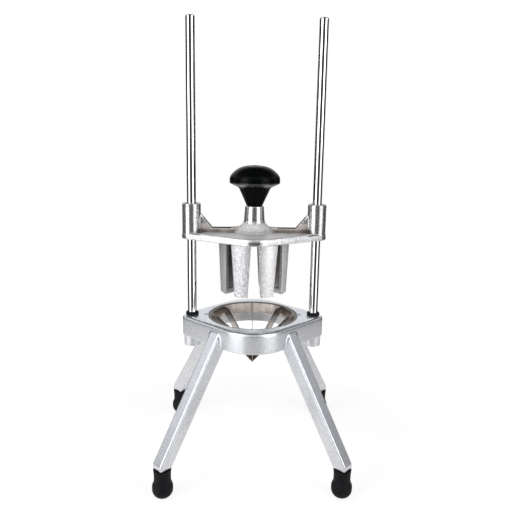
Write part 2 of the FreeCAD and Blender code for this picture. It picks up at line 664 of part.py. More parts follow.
def sectorSection(body, name, height, radius, tail, lowEnd, highEnd):
    """A sector round the middle: an arc between two ends across the finger, closed by lines to its tail."""
    sketch = newSketch(body, name, height=height, turn=180 / value("Sizes.fingerCount"))
    size = value(radius)
    ends = [vector(math.sqrt(size ** 2 - value(end) ** 2), value(end), 0) for end in (lowEnd, highEnd)]
    angles = [math.atan2(end.y, end.x) for end in ends]
    tails = [vector(value(x), value(y), 0) for x, y in tail]
    arc = sketch.addGeometry(Part.ArcOfCircle(Part.Circle(vector(), vector(0, 0, 1), size), *angles), False)
    sketch.addConstraint(Sketcher.Constraint("Coincident", arc, 3, -1, 1))
    bindSize(sketch, "Radius", radius, arc)
    bindSize(sketch, "DistanceY", lowEnd, -1, 1, arc, 1)
    bindSize(sketch, "DistanceY", highEnd, -1, 1, arc, 2)
    points = [ends[1]] + tails + [ends[0]]
    last, lastEnd = arc, 2
    for index, (first, second) in enumerate(zip(points, points[1:])):
        line = sketch.addGeometry(Part.LineSegment(first, second), False)
        sketch.addConstraint(Sketcher.Constraint("Coincident", last, lastEnd, line, 1))
        if index < len(tail):
            placePoint(sketch, line, 2, *tail[index])
        last, lastEnd = line, 2
    sketch.addConstraint(Sketcher.Constraint("Coincident", last, 2, arc, 1))
    return sketch


def fingerSection(body, name, height, gap, inner, outer):
    """Wedge between two neighbouring blades: two flat flanks, a round outer side and a blunt inner end."""
    corner = "%s * sin(%s - asin(%s / %s))" % (outer, halfPitch, gap, outer)
    tail = "(%s - %s / sin(%s)) * tan(%s)" % (inner, gap, halfPitch, halfPitch)
    ends = [(inner, tail), (inner, "-" + tail)]
    return sectorSection(body, name, height, outer, ends, "-" + corner, corner)


def coreSection(body, name, height, outer, side):
    """The hollow beside the web, behind the outer wall."""
    wall = "(%s - Sizes.fingerShell)" % outer
    web = "Sizes.fingerWeb / 2"
    edge = "%s * sin(%s)" % (wall, halfPitch)
    apex = "%s / tan(%s)" % (web, halfPitch)
    if side > 0:
        return sectorSection(body, name, height, wall, [(apex, web)], web, edge)
    return sectorSection(body, name, height, wall, [(apex, "-" + web)], "-" + edge, "-" + web)


def buildCrosshead():
    """Plate, rib, bosses, hub and eight cored pusher fingers, cast in one. Z is above its underside."""
    body = newBody("crosshead_casting")
    outline = newSketch(body, "plateOutline")
    drawLens(outline, "Sizes.plateNoseRadius", "Sizes.plateNoseOffset", "Sizes.plateEarRadius", rodX)
    plate = extrude(body, "Pad", outline, "Sizes.plateThickness")
    top = dress(body, "Fillet", plate, "Sizes.plateEdge", atHeight(value("Sizes.plateThickness")))
    dress(body, "Fillet", top, "Sizes.plateLowerEdge", atHeight(0.0))

    rib = newSketch(body, "ribOutline", "XZ_Plane")
    wall = "(%s - Sizes.bossRadius)" % rodX
    foot = "(%s - Sizes.gussetReach)" % rodX
    low = "Sizes.plateThickness / 2"
    inside = "%s - Sizes.bossRadius / 2" % rodX
    rise = "(Sizes.gussetHeight + (Sizes.gussetHeight - Sizes.ribHeight) * Sizes.bossRadius / 2"
    high = rise + " / (Sizes.gussetReach - Sizes.bossRadius))"
    drawOutline(rib, [
        (inside, low), (inside, high), (foot, "Sizes.ribHeight"), ("-" + foot, "Sizes.ribHeight"),
        ("-(%s)" % inside, high), ("-(%s)" % inside, low),
    ])
    web = extrude(body, "Pad", rib, "Sizes.ribThickness", symmetric=True)

    def ribTop(middle, edge):
        # the long edges along the top of the rib and up the gussets
        level = edge.BoundBox.ZMin > value("Sizes.ribHeight") - 0.01
        return level and abs(abs(middle.y) - value("Sizes.ribThickness / 2")) < 0.01
    dress(body, "Fillet", web, "Sizes.ribEdge", ribTop)

    hub = newSketch(body, "hubSection", "XZ_Plane")
    drawOutline(hub, [
        (0, low), ("Sizes.hubFoot", low), ("Sizes.hubFoot", "Sizes.plateThickness"),
        ("Sizes.hubWaist", "Sizes.plateThickness + Sizes.hubFoot - Sizes.hubWaist", "Sizes.hubWaist * 0.75"),
        ("Sizes.hubRadius", "Sizes.hubHeight", "Sizes.hubEdge"), (0, "Sizes.hubHeight"),
    ])
    revolve(body, hub)

    bosses = newSketch(body, "headBosses")
    for name, side in sides:
        drawCircle(bosses, "Sizes.bossRadius", "%d * %s" % (side, rodX), 0)
    boss = extrude(body, "Pad", bosses, "Sizes.bossHeight")
    dress(body, "Chamfer", boss, "Sizes.bossBevel", atHeight(value("Sizes.bossHeight")))

    # a finger: outer wall, web and tip pad, each drafted from the plate to the tip
    buried = "Sizes.plateThickness / 2"
    tipLevel = "-Sizes.fingerLength"
    wedge = loft(body, "AdditiveLoft", [
        fingerSection(body, "fingerRoot", buried, "Sizes.fingerGap", "Sizes.fingerInner",
                      "Sizes.fingerRadius"),
        fingerSection(body, "fingerTip", tipLevel, "Sizes.fingerTipGap", "Sizes.fingerTipInner",
                      "Sizes.fingerTipRadius"),
    ])
    coreFloor = "-(Sizes.fingerLength - Sizes.fingerPad)"
    cores = []
    for name, side in sides:
        cores.append(loft(body, "SubtractiveLoft", [
            coreSection(body, "coreRoot_" + name, 0, "Sizes.fingerRadius", side),
            coreSection(body, "coreTip_" + name, coreFloor, "Sizes.fingerTipRadius", side),
        ]))
    patternRound(body, [wedge] + cores, "Sizes.fingerCount")

    bores = newSketch(body, "bushBores")
    relief = newSketch(body, "boreRelief")
    for name, side in sides:
        x = "%d * %s" % (side, rodX)
        drawCircle(bores, "Sizes.bushOuter / 2 + Sizes.seatPlay", x, 0)
        drawCircle(relief, "Sizes.rodDiameter / 2 + Sizes.boreRelief", x, 0)
    extrude(body, "Pocket", bores, "Sizes.bushLength", reverse=True)
    extrude(body, "Pocket", relief, "Sizes.bossHeight", reverse=True)
    upper = newSketch(body, "upperBushBores", height="Sizes.bossHeight")
    for name, side in sides:
        drawCircle(upper, "Sizes.bushOuter / 2 + Sizes.seatPlay", "%d * %s" % (side, rodX), 0)
    extrude(body, "Pocket", upper, "Sizes.bushLength")
    stud = newSketch(body, "knobStudHole", height="Sizes.hubHeight")
    drawCircle(stud, "Sizes.knobStudDiameter / 2 + Sizes.seatPlay")
    extrude(body, "Pocket", stud, "Sizes.knobStudDepth + Sizes.endPlay")
    place(body, z="Sizes.headHeight")
    return body


def buildBush(level, name, side):
    """Plain bearing pressed into one end of a boss."""
    body = newBody("guide_bush_%s_%s" % (level, name))
    section = newSketch(body, "bushSection_%s_%s" % (level, name), "XZ_Plane")
    inner = "Sizes.rodDiameter / 2 + Sizes.runningClearance"
    outer = "Sizes.bushOuter / 2"
    bevel = " + Sizes.smallBevel"
    drawOutline(section, [
        (inner + bevel, 0), (outer, 0), (outer, "Sizes.bushLength"), (inner + bevel, "Sizes.bushLength"),
        (inner, "Sizes.bushLength - Sizes.smallBevel"), (inner, "Sizes.smallBevel"),
    ])
    revolve(body, section)
    height = "Sizes.headHeight"
    if level == "upper":
        height += " + Sizes.bossHeight - Sizes.bushLength"
    place(body, x="%d * %s" % (side, rodX), z=height)
    return body


knobSeat = "Sizes.headHeight + Sizes.hubHeight"


def buildKnob():
    """Mushroom knob: low dome, blunt brim, hollow-sided neck."""
    body = newBody("knob")
    section = newSketch(body, "knobSection", "XZ_Plane")
    insert = "Sizes.insertDiameter / 2 + Sizes.seatPlay"
    depth = "Sizes.insertLength + Sizes.seatPlay"
    drawOutline(section, [
        (insert, 0), ("Sizes.knobFoot", 0), ("Sizes.knobNeck", "Sizes.knobUnder", "Sizes.knobUnder / 5"),
        ("Sizes.knobRadius", "Sizes.knobBrim - Sizes.knobLip", "Sizes.knobLipEdge"),
        ("Sizes.knobRadius", "Sizes.knobBrim + Sizes.knobShoulder", "Sizes.knobRadius / 3"),
        ("Sizes.knobRadius * 0.64", "Sizes.knobHeight - Sizes.knobCrown", "Sizes.knobRadius * 0.9"),
        (0, "Sizes.knobHeight"), (0, depth), (insert, depth),
    ])
    revolve(body, section)
    place(body, z=knobSeat)
    return body


def buildKnobInsert():
    body = newBody("knob_insert")
    section = newSketch(body, "insertSection", "XZ_Plane")
    hole = "Sizes.knobStudDiameter / 2 + Sizes.seatPlay"
    outer = "Sizes.insertDiameter / 2"
    groove = outer + " - Sizes.insertGroove"
    drawOutline(section, [
        (hole, 0), (outer, 0), (outer, "Sizes.insertLength * 0.4"), (groove, "Sizes.insertLength * 0.45"),
        (groove, "Sizes.insertLength * 0.55"), (outer, "Sizes.insertLength * 0.6"),
        (outer, "Sizes.insertLength"), (hole, "Sizes.insertLength"),
    ])
    revolve(body, section)
    place(body, z=knobSeat)
    return body


def buildKnobStud():
    body = newBody("knob_stud")
    section = newSketch(body, "studSection", "XZ_Plane")
    radius = "Sizes.knobStudDiameter / 2"
    low = "-Sizes.knobStudDepth"
    high = "Sizes.insertLength - Sizes.endPlay"
    bevel = " - Sizes.studBevel"
    drawOutline(section, [
        (0, low), (radius + bevel, low), (radius, low + " + Sizes.studBevel"), (radius, high + bevel),
        (radius + bevel, high), (0, high),
    ])
    revolve(body, section)
    place(body, z=knobSeat)
    return body


corners = (("front_left", 225), ("front_right", 315), ("rear_left", 135), ("rear_right", 45))
nodes = [buildBase(), buildBladeRing(), buildCrosshead(), buildKnob(), buildKnobInsert(), buildKnobStud()]
nodes += [buildBlade(number) for number in range(4)]
for name, side in sides:
    nodes += [buildRod(name, side), buildBumper(name, side)]
    nodes += [buildBush("lower", name, side), buildBush("upper", name, side)]
nodes += [buildFoot(name, turn) for name, turn in corners]
nodes.append(group("foot_studs", [buildFootStud(name, turn) for name, turn in corners]))
nodes.append(group("rod_screws", [buildRodScrew(name, side) for name, side in sides]))
nodes.append(group("rod_lock_washers", [buildLockWasher(name, side) for name, side in sides]))
nodes.append(group("blade_ring_screws", [buildRingScrew(name, side) for name, side in sides]))
doc.recompute()

for item in doc.Objects:
    if "Invalid" in item.State or "Error" in item.State:
        raise RuntimeError("%s did not build: %s" % (item.Name, item.State))
for node in nodes:
    if node.Shape.isNull() or not node.Shape.isValid() or node.Shape.Volume <= 0:
        raise RuntimeError(node.Label + " is not a valid solid")
    node.Shape.exportStep("parts/%s.step" % node.Label)
    box = node.Shape.BoundBox
    print("%-26s %2d solid(s) %10.1f mm3  z %.2f to %.2f" % (
        node.Label, len(node.Shape.Solids), node.Shape.Volume, box.ZMin, box.ZMax))
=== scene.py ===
import json
import math

import bpy
from mathutils import Matrix, Vector

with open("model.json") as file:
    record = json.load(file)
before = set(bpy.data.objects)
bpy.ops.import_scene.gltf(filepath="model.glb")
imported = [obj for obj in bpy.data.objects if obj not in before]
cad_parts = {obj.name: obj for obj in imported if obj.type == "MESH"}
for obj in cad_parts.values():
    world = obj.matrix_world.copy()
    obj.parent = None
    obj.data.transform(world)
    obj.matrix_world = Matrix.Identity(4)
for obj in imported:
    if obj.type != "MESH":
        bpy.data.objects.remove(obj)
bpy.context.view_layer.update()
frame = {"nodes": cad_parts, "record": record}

nodes = frame["nodes"]
scene = bpy.context.scene
print("press loaded with", len(nodes), "nodes")


# Shader maths: a wire is one output in a node tree, and sums on wires add Math nodes.
class Wire:
    def __init__(self, graph, socket):
        self.graph = graph
        self.socket = socket

    def sum(self, operation, first, second):
        return self.graph.add("ShaderNodeMath", {"operation": operation}, {0: first, 1: second})

    def __add__(self, other):
        return self.sum("ADD", self, other)

    def __radd__(self, other):
        return self.sum("ADD", other, self)

    def __sub__(self, other):
        return self.sum("SUBTRACT", self, other)

    def __rsub__(self, other):
        return self.sum("SUBTRACT", other, self)

    def __mul__(self, other):
        return self.sum("MULTIPLY", self, other)

    def __rmul__(self, other):
        return self.sum("MULTIPLY", other, self)

    def __truediv__(self, other):
        return self.sum("DIVIDE", self, other)

    def __pow__(self, other):
        return self.sum("POWER", self, other)

    def __abs__(self):
        return self.sum("ABSOLUTE", self, 0.0)

    def atMost(self, other):
        return self.sum("MINIMUM", self, other)

    def atLeast(self, other):
        return self.sum("MAXIMUM", self, other)

    # 0 below the span, 1 above it, smooth between
    def rise(self, span):
        low, high = span
        return self.graph.add("ShaderNodeMapRange", {"interpolation_type": "SMOOTHSTEP"},
                              {"Value": self, "From Min": low, "From Max": high})

    def fall(self, span):
        return 1 - self.rise(span)


class Graph:
    def __init__(self, tree):
        self.tree = tree
        tree.nodes.clear()

    def add(self, kind, settings=None, sockets=None, out=0):
        node = self.tree.nodes.new(kind)
        for name, setting in (settings or {}).items():
            setattr(node, name, setting)
        for name, given in (sockets or {}).items():
            if isinstance(given, Wire):
                self.tree.links.new(given.socket, node.inputs[name])
            else:
                node.inputs[name].default_value = given
        return Wire(self, node.outputs[out]) if len(node.outputs) else None

    def blendColours(self, factor, first, second, mode="MIX"):
        return self.add("ShaderNodeMix", {"data_type": "RGBA", "blend_type": mode},
                        {0: factor, 6: first, 7: second}, out=2)

    def noise(self, place, scale, detail=2.0, roughness=0.5):
        return self.add("ShaderNodeTexNoise", {}, {"Vector": place, "Scale": scale, "Detail": detail,
                                                   "Roughness": roughness})

    def place(self):
        return self.add("ShaderNodeTexCoord", out="Object")

    def split(self, vector):
        return [self.add("ShaderNodeSeparateXYZ", {}, {"Vector": vector}, out=axis) for axis in "XYZ"]

    def stretched(self, scale):
        return self.add("ShaderNodeMapping", {}, {"Vector": self.place(), "Scale": scale})

    def bump(self, height, depth, under=None):
        sockets = {"Height": height, "Distance": depth, "Strength": 1.0}
        if under:
            sockets["Normal"] = under
        return self.add("ShaderNodeBump", {}, sockets)


def newMaterial(name):
    material = bpy.data.materials.new(name)
    material.use_nodes = True
    return material, Graph(material.node_tree)


def grey(level):
    return (level, level, level, 1)


# One finish. Its colour is painted in layers, each over the last.
class Skin:
    def __init__(self, name, colour):
        self.material, self.graph = newMaterial(name)
        self.place = self.graph.place()
        self.colour = colour

    def measure(self):
        self.across, self.deep, self.height = self.graph.split(self.place)
        self.fromMiddle = (self.across * self.across + self.deep * self.deep) ** 0.5

    def paint(self, amount, colour, mode="MIX"):
        self.colour = self.graph.blendColours(amount, self.colour, colour, mode)

    def finish(self, **sockets):
        named = {name.replace("_", " "): given for name, given in sockets.items()}
        shader = self.graph.add("ShaderNodeBsdfPrincipled", {}, {"Base Color": self.colour, **named})
        self.graph.add("ShaderNodeOutputMaterial", {}, {"Surface": shader})
        return self.material


# Both castings: tumbled aluminium, bright on the high spots, blue grey in the pits, worn along its edges.
# A pair of numbers is a span that something fades over. Heights and distances are in metres.
tumbled = {"grain": 800, "pits": 1760, "waves": 85, "mottle": (0.42, 0.61), "metal": 0.88,
           "worn": (0.86, 0.985), "wornSmooth": 0.8}


class Casting(Skin):
    def __init__(self, name, look):
        super().__init__(name, look["dull"])
        self.measure()
        self.look = look
        self.grain = self.graph.noise(self.place, tumbled["grain"], 3.0, 0.6)
        pits = self.graph.noise(self.place, tumbled["pits"], 2.0, 0.55)
        self.waves = self.graph.noise(self.place, tumbled["waves"], 2.0, 0.5)
        mottle = (self.grain * 0.65 + pits * 0.3 + self.waves * 0.1).rise(tumbled["mottle"])
        self.paint(mottle, look["bright"])
        self.rough = look["roughHigh"] - mottle * (look["roughHigh"] - look["roughLow"])
        self.metal = tumbled["metal"]
        self.rounded = self.graph.add("ShaderNodeBevel", {"samples": 6}, {"Radius": look["edge"]})
        flat = self.graph.add("ShaderNodeNewGeometry", out="True Normal")
        facing = self.graph.add("ShaderNodeVectorMath", {"operation": "DOT_PRODUCT"},
                                {0: self.rounded, 1: flat}, out="Value")
        self.worn = facing.fall(tumbled["worn"])
        self.relief = (self.grain * 0.65 + pits * 0.35) * (1 - self.worn * tumbled["wornSmooth"])

    def specks(self, scale, span):
        return self.graph.noise(self.place, scale, 2.0, 0.6).fall(span)

    def dress(self):
        swells = self.graph.bump(self.waves, self.look["waveDepth"], self.rounded)
        relief = self.graph.bump(self.relief, self.look["pitDepth"], swells)
        return self.finish(Metallic=self.metal, Roughness=self.rough, Normal=relief)


# The base is duller than the head.
base = {"bright": (0.91, 0.94, 0.985, 1), "dull": (0.65, 0.69, 0.76, 1), "edge": 0.0006,
        "roughLow": 0.29, "roughHigh": 0.4, "pitDepth": 0.00006, "waveDepth": 0.0001,
        "seamInner": (0.0496, 0.0503), "seamOuter": (0.0515, 0.0518), "seamFrom": (0.1698, 0.1702),
        "seamShade": 0.9, "seamDull": 0.8, "seamShadeTint": (0.05, 0.045, 0.04, 1),
        "browInner": (0.0525, 0.0532), "browFrom": (0.1696, 0.1701), "browTo": (0.1711, 0.17125),
        "browPolish": 0.2}


def castBase():
    skin = Casting("tumbledAluminium", base)
    # painted shade in the seam round the blade ring, which is also made duller
    seam = skin.fromMiddle.rise(base["seamInner"]) * skin.fromMiddle.fall(base["seamOuter"])
    seam = seam * skin.height.rise(base["seamFrom"])
    skin.paint(seam * base["seamShade"], base["seamShadeTint"])
    skin.metal = skin.metal * (1 - seam * base["seamDull"])
    # the upper edge of the deck is rubbed smooth
    brow = skin.height.rise(base["browFrom"]) * skin.height.fall(base["browTo"])
    skin.rough = skin.rough - brow * skin.fromMiddle.rise(base["browInner"]) * base["browPolish"]
    return skin.dress()


# The head is polished by use on its rim, bosses and hub.
head = {"bright": (0.90, 0.895, 0.89, 1), "dull": (0.44, 0.455, 0.50, 1), "edge": 0.0008,
        "roughLow": 0.1, "roughHigh": 0.22, "pitDepth": 0.00016, "waveDepth": 0.00003}
plate = {"top": 0.2688, "from": (0.2665, 0.2680), "rodSide": (0.058, 0.061), "hubSide": (0.0120, 0.0125),
         "hubCone": (0.0190, 0.0225), "gussetFrom": (0.2765, 0.2795), "gussetPolish": 0.6,
         "metal": 0.6, "rough": 0.1, "pits": 3.4}
slant = {"tilted": (0.2, 0.4), "level": (0.98, 0.993), "from": (0.2691, 0.2696), "hubSide": (0.0245, 0.0255),
         "polish": 0.07, "smooth": 0.7}
skirt = {"inner": (0.0118, 0.0132), "outer": (0.0165, 0.0205), "top": (0.2790, 0.2820),
         "metal": 0.45, "rough": 0.2}
ridgeShade = {"from": (0.2725, 0.2732), "hubSide": (0.0250, 0.0265), "rodSide": (0.0568, 0.0576),
         "cover": 0.97, "tint": (0.03, 0.026, 0.024, 1)}
rawFace = {"rib": (0.0035, 0.0080), "ribTint": (1.0, 0.945, 0.90, 1), "bright": 0.6,
           "speckScale": 800, "specks": (0.41, 0.52), "speckTint": (0.24, 0.20, 0.17, 1),
           "plateSpecks": 0.34, "ribSpecks": 0.44}


def leavePlateRaw(skin):
    across, height, fromHub = abs(skin.across), skin.height, skin.fromMiddle
    # the upper side of the plate, its rib and gussets stay as cast
    raw = across.fall(plate["rodSide"]) * fromHub.rise(plate["hubSide"])
    raw = raw * (fromHub + height - plate["top"]).rise(plate["hubCone"])
    raw = raw * height.rise(plate["from"]) * (1 - skin.worn)
    raw = raw * (1 - height.rise(plate["gussetFrom"]) * plate["gussetPolish"])
    # slanting faces and roundings are rubbed smooth, the skirt at the foot of the hub is left satin
    tilt = skin.graph.split(skin.graph.add("ShaderNodeNewGeometry", out="Normal"))[2]
    polishAndPaintedLight = tilt.rise(slant["tilted"]) * tilt.fall(slant["level"]) * height.rise(slant["from"])
    satin = polishAndPaintedLight * fromHub.rise(skirt["inner"]) * fromHub.fall(skirt["outer"]) * height.fall(skirt["top"])
    polishAndPaintedLight = polishAndPaintedLight * fromHub.rise(slant["hubSide"])
    raw = raw * (1 - polishAndPaintedLight)
    skin.metal = skin.metal - raw * (tumbled["metal"] - plate["metal"]) - satin * skirt["metal"]
    skin.rough = skin.rough + raw * plate["rough"] + satin * skirt["rough"] - polishAndPaintedLight * slant["polish"]
    skin.relief = skin.relief * (1 + raw * plate["pits"] - polishAndPaintedLight * slant["smooth"])
    # raw faces are speckled, and browner on the rib
    onRib = abs(skin.deep).fall(rawFace["rib"])
    specks = skin.specks(rawFace["speckScale"], rawFace["specks"])
    skin.paint(raw * onRib, rawFace["ribTint"], "MULTIPLY")
    skin.paint(raw * (1 - onRib) * rawFace["bright"], head["bright"])
    skin.paint(specks * raw * (rawFace["plateSpecks"] + onRib * rawFace["ribSpecks"]), rawFace["speckTint"])
    # painted reflection: the tops of rib and gussets are painted dark, in place of the dark that their
    # rounded edges reflect
    paintedRidgeShade = (polishAndPaintedLight + skin.worn).atMost(1.0) * height.rise(ridgeShade["from"]) * fromHub.rise(ridgeShade["hubSide"])
    skin.paint(paintedRidgeShade * across.fall(ridgeShade["rodSide"]) * ridgeShade["cover"], ridgeShade["tint"])
    return raw


# Painted shade: dark patches in the corners of the head, by the rib and by the rod bosses.
scale = {"tint": (0.14, 0.11, 0.09, 1), "ribSide": (0.003, 0.011), "ribFoot": (0.2690, 0.2735),
         "ribWaves": 2.2, "ribGrain": 1.0, "ribClean": 0.75, "ribCover": 0.75,
         "bossAt": 0.07, "bossSide": (0.0125, 0.0215), "bossInner": (-0.008, -0.003),
         "bossFrom": (0.2682, 0.2687), "bossTo": (0.2700, 0.2740),
         "bossWaves": 2.4, "bossGrain": 1.2, "bossClean": 0.9, "bossCover": 0.9}


def paintCornerShade(skin, raw):
    # painted shade, in dark patches, in the corner between rib and plate
    ribCornerShade = skin.height.fall(scale["ribFoot"]) * abs(skin.deep).fall(scale["ribSide"]) * raw
    patches = skin.waves * scale["ribWaves"] + skin.grain * scale["ribGrain"] - scale["ribClean"]
    ribCornerShade = ribCornerShade * patches.atLeast(0.0)
    skin.paint(ribCornerShade.atMost(scale["ribCover"]), scale["tint"])
    # and painted shade where the plate runs up to the rod bosses
    aside = abs(skin.across) - scale["bossAt"]
    fromBoss = (aside * aside + skin.deep * skin.deep) ** 0.5
    bossCornerShade = fromBoss.fall(scale["bossSide"]) * aside.fall(scale["bossInner"])
    bossCornerShade = bossCornerShade * skin.height.rise(scale["bossFrom"]) * skin.height.fall(scale["bossTo"])
    patches = skin.waves * scale["bossWaves"] + skin.grain * scale["bossGrain"] - scale["bossClean"]
    bossCornerShade = bossCornerShade * patches.atLeast(0.0)
    skin.paint(bossCornerShade.atMost(scale["bossCover"]), scale["tint"])


fingers = {"root": (0.2600, 0.2606), "metal": 0.78, "sideMetal": 0.5, "side": (0.0225, 0.0245), "rough": 0.07,
           "pits": 2.2, "speckScale": 620, "specks": (0.43, 0.53), "speckTint": (0.36, 0.39, 0.47, 1),
           "speckCover": 0.45, "polishAndPaintedLight": (0.003, 0.019), "paintedLightTint": (0.98, 0.985, 1.0, 1),
           "paintedLightCover": 0.85, "paintedLightClean": 0.3}
hollowShade = {"tip": 0.2018, "tipWall": 0.0338, "draft": 0.0407, "wall": (-0.0005, 0.0003), "pad": (0.2066, 0.2085),
        "fade": (0.208, 0.235), "lowShade": 0.5, "tint": (0.50, 0.46, 0.42, 1)}


def frostFingers(skin):
    # the fingers are satin, and duller at the two sides
    onFinger = skin.height.fall(fingers["root"])
    sides = abs(skin.across).rise(fingers["side"]) * (fingers["metal"] - fingers["sideMetal"])
    skin.metal = skin.metal - onFinger * (tumbled["metal"] - fingers["metal"] + sides)
    skin.rough = skin.rough + onFinger * fingers["rough"]
    skin.relief = skin.relief * (1 + onFinger * fingers["pits"])
    # painted light: towards the right their fronts are painted brighter, with fewer specks
    polishAndPaintedLight = skin.across.rise(fingers["polishAndPaintedLight"]) * onFinger
    skin.paint(polishAndPaintedLight * fingers["paintedLightCover"], fingers["paintedLightTint"])
    cover = fingers["speckCover"] - polishAndPaintedLight * fingers["paintedLightClean"]
    skin.paint(skin.specks(fingers["speckScale"], fingers["specks"]) * onFinger * cover, fingers["speckTint"])
    # painted shade: the hollows inside their drafted outer walls are painted dark, darkest towards the top
    wall = hollowShade["tipWall"] + (skin.height - hollowShade["tip"]) * hollowShade["draft"]
    inside = (skin.fromMiddle - wall).fall(hollowShade["wall"]) * onFinger * skin.height.rise(hollowShade["pad"])
    shade = hollowShade["lowShade"] + skin.height.rise(hollowShade["fade"]) * (1 - hollowShade["lowShade"])
    skin.paint(inside * shade, hollowShade["tint"], "MULTIPLY")


def castHead():
    skin = Casting("polishedAluminium", head)
    paintCornerShade(skin, leavePlateRaw(skin))
    frostFingers(skin)
    return skin.dress()


rod = {"light": (0.94, 0.93, 0.93, 1), "dark": (0.86, 0.85, 0.85, 1), "rough": 0.03,
       "rings": (40, 40, 2600), "ringRough": 0.03, "ringDepth": 0.000001,
       "streaks": (900, 900, 12), "streakRough": 0.02}


def groundChrome():
    skin = Skin("groundChrome", rod["dark"])
    rings = skin.graph.noise(skin.graph.stretched(rod["rings"]), 1.0)
    streaks = skin.graph.noise(skin.graph.stretched(rod["streaks"]), 1.0)
    skin.paint(streaks, rod["light"])
    rough = rod["rough"] + rings * rod["ringRough"] + streaks * rod["streakRough"]
    return skin.finish(Metallic=1.0, Roughness=rough, Normal=skin.graph.bump(rings, rod["ringDepth"]))


# Brushed steel: fine lines, softly clouded. Ring and blades add their own darkening: painted shade inside the
# ring and where the blades run up into it, and a darker point on the blades.
brushed = {"clouds": 60, "lineShare": 0.7, "cloudShare": 0.3, "lineRough": 0.14, "lineDepth": 0.00001}


class Steel(Skin):
    def __init__(self, name, look):
        super().__init__(name, look["dark"])
        self.measure()
        self.look = look
        self.lines = self.graph.noise(self.graph.stretched(look["lines"]), 1.0, 3.0, 0.65)
        self.clouds = self.graph.noise(self.place, brushed["clouds"])
        self.paint(self.lines * brushed["lineShare"] + self.clouds * brushed["cloudShare"], look["light"])

    def dress(self):
        rough = self.look["rough"] + self.lines * brushed["lineRough"]
        relief = self.graph.bump(self.lines, brushed["lineDepth"])
        return self.finish(Metallic=1.0, Roughness=rough, Normal=relief)


blade = {"light": (0.88, 0.845, 0.81, 1), "dark": (0.62, 0.585, 0.555, 1), "rough": 0.2,
         "lines": (500, 500, 6000), "tip": (0.128, 0.134), "shoulder": (0.150, 0.166), "drift": 0.004,
         "darkening": 0.7, "darkeningTint": (0.16, 0.135, 0.12, 1)}


def bladeSteel():
    skin = Steel("groundBladeSteel", blade)
    # painted shade where the blades run up into the ring, and darker also at the point below
    height = skin.height + skin.clouds * blade["drift"]
    darkening = height.rise(blade["shoulder"]).atLeast(height.fall(blade["tip"]))
    skin.paint(darkening * blade["darkening"], blade["darkeningTint"])
    return skin.dress()


ring = {"light": (1.0, 0.94, 0.90, 1), "dark": (0.92, 0.86, 0.82, 1), "rough": 0.12,
        "lines": (200, 200, 5000), "rim": (0.1705, 0.1707), "rimShade": 0.75,
        "seat": (0.0490, 0.0498), "seatShade": 0.2, "rimShadeTint": (0.05, 0.045, 0.04, 1),
        "side": (0.036, 0.046), "drift": 0.012, "sideShade": 0.75, "sideShadeTint": (0.34, 0.29, 0.26, 1)}


def ringSteel():
    skin = Steel("turnedRingSteel", ring)
    # painted shade on the upper rim of the ring, most of all along its seat
    darkening = ring["rimShade"] + skin.fromMiddle.rise(ring["seat"]) * ring["seatShade"]
    skin.paint(skin.height.rise(ring["rim"]) * darkening, ring["rimShadeTint"])
    # and painted shade, brown, on its wall at the two sides
    sides = (abs(skin.across) + skin.clouds * ring["drift"]).rise(ring["side"])
    skin.paint(sides * ring["sideShade"], ring["sideShadeTint"], "MULTIPLY")
    return skin.dress()


screw = {"light": (0.72, 0.72, 0.71, 1), "dark": (0.5, 0.5, 0.5, 1), "rough": 0.24,
         "lines": (1500, 1500, 1500)}


def screwSteel():
    return Steel("screwSteel", screw).dress()


rubber = {"fresh": (0.004, 0.004, 0.006, 1), "worn": (0.012, 0.012, 0.015, 1), "rough": 0.5, "specular": 0.16,
          "grain": 2200, "grainRough": 0.16, "grainDepth": 0.00003,
          "bloomScale": 120, "bloom": (0.45, 0.75), "bloomCover": 0.5}


def blackRubber():
    skin = Skin("blackRubber", rubber["fresh"])
    grain = skin.graph.noise(skin.place, rubber["grain"])
    bloom = skin.graph.noise(skin.place, rubber["bloomScale"], 3.0, 0.6).rise(rubber["bloom"])
    skin.paint(bloom * rubber["bloomCover"], rubber["worn"])
    rough = rubber["rough"] + grain * rubber["grainRough"]
    return skin.finish(Roughness=rough, Specular_IOR_Level=rubber["specular"],
                       Normal=skin.graph.bump(grain, rubber["grainDepth"]))


knob = {"colour": (0.002, 0.0025, 0.0025, 1), "rough": 0.2, "specular": 0.05,
        "haze": 160, "hazeRough": 0.12, "hazeDepth": 0.00002,
        "scuffLines": (300, 300, 2200), "scuffs": (0.62, 0.8), "scuffCover": 0.3, "scuffRough": 0.1,
        "scuffTint": (0.008, 0.008, 0.0085, 1), "glossFrom": (0.3198, 0.3212), "glossTo": (0.3238, 0.3250),
        "paintedSheenCover": 0.6, "glossRough": 0.12, "paintedSheenTint": (0.06, 0.062, 0.066, 1)}


def knobPlastic():
    skin = Skin("blackKnobPlastic", knob["colour"])
    haze = skin.graph.noise(skin.place, knob["haze"], 3.0, 0.6)
    scuffs = skin.graph.noise(skin.graph.stretched(knob["scuffLines"]), 1.0, 3.0, 0.7).rise(knob["scuffs"])
    skin.paint(scuffs * knob["scuffCover"], knob["scuffTint"])
    # the neck and dome are dulled by hands, the hollow under the brim keeps its gloss and is painted lighter
    # there, a painted reflection of the bright parts below
    height = skin.graph.split(skin.place)[2]
    gloss = height.rise(knob["glossFrom"]) * height.fall(knob["glossTo"])
    skin.paint(gloss * knob["paintedSheenCover"], knob["paintedSheenTint"])
    rough = knob["rough"] + haze * knob["hazeRough"] + scuffs * knob["scuffRough"]
    return skin.finish(Roughness=rough, Specular_IOR_Level=knob["specular"], Coat_Weight=gloss,
                       Coat_Roughness=knob["glossRough"], Normal=skin.graph.bump(haze, knob["hazeDepth"]))


brass = {"light": (0.32, 0.26, 0.18, 1), "dark": (0.20, 0.16, 0.11, 1), "rough": 0.25,
         "rings": (60, 60, 3000), "ringRough": 0.12, "ringDepth": 0.00001}


